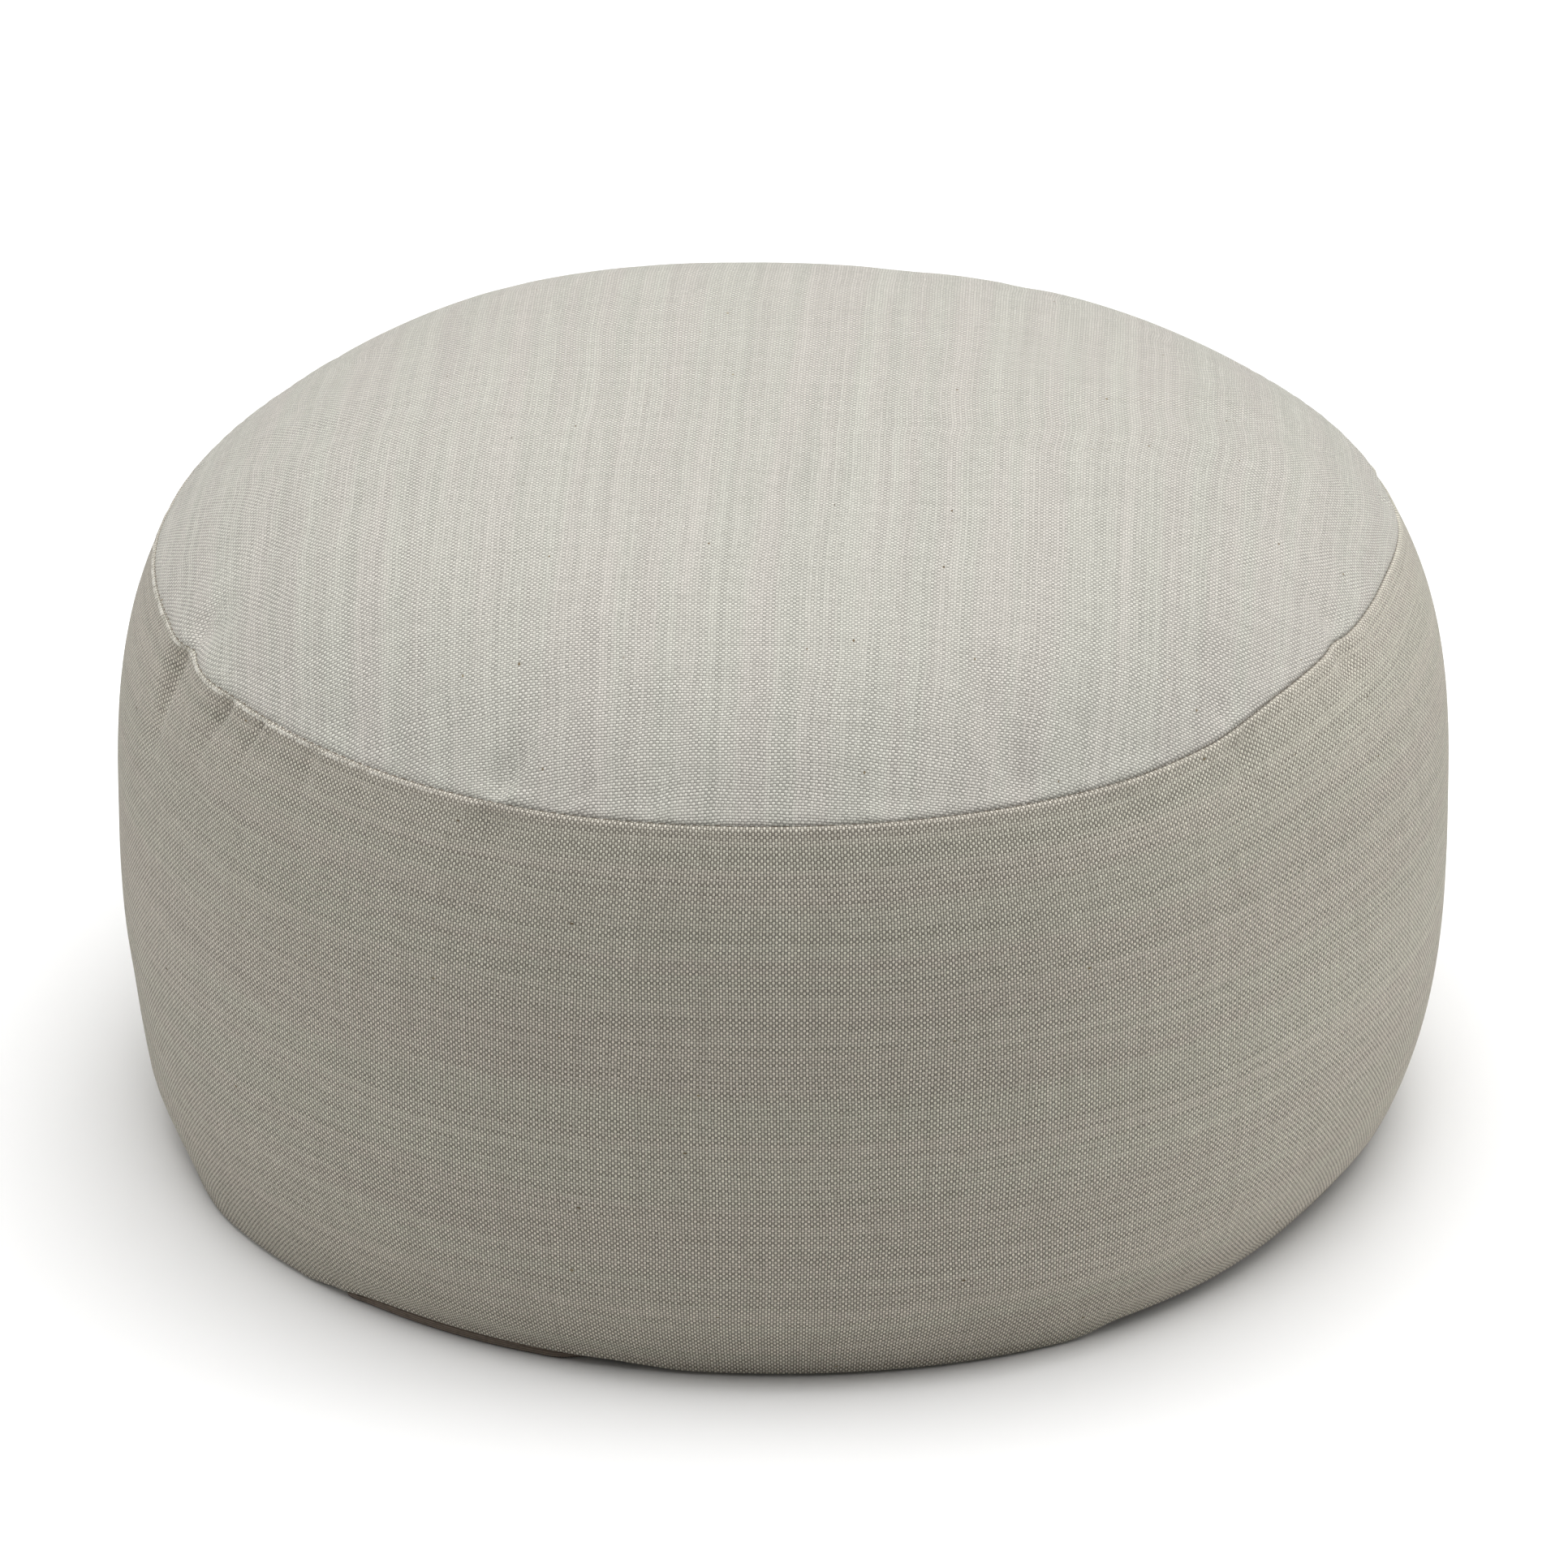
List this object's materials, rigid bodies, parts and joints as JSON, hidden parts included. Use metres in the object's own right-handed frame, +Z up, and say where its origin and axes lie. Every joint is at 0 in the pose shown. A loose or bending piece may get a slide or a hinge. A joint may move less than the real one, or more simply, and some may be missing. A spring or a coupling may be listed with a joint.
{
  "type": "zafu meditation cushion",
  "caption": "Round filled floor cushion for seated meditation: a crowned top sewn to a deep bulging side band, on a flat darker base panel, in plain oatmeal linen canvas.",
  "frame": {"origin": "centre of the flat base, on the floor", "axes": "+Z up through the crown; -Y towards the side seen in the picture; +X to that view's right"},
  "size_m": [0.3589, 0.3599, 0.197],
  "materials": {
    "linen_canvas": "matt plain-weave linen canvas, oatmeal",
    "base_cloth": "matt ribbed cloth, dark taupe"
  },
  "bodies": {
    "root": {"filled_cushion": "linen_canvas", "base_panel": "base_cloth"}
  },
  "joints": []
}
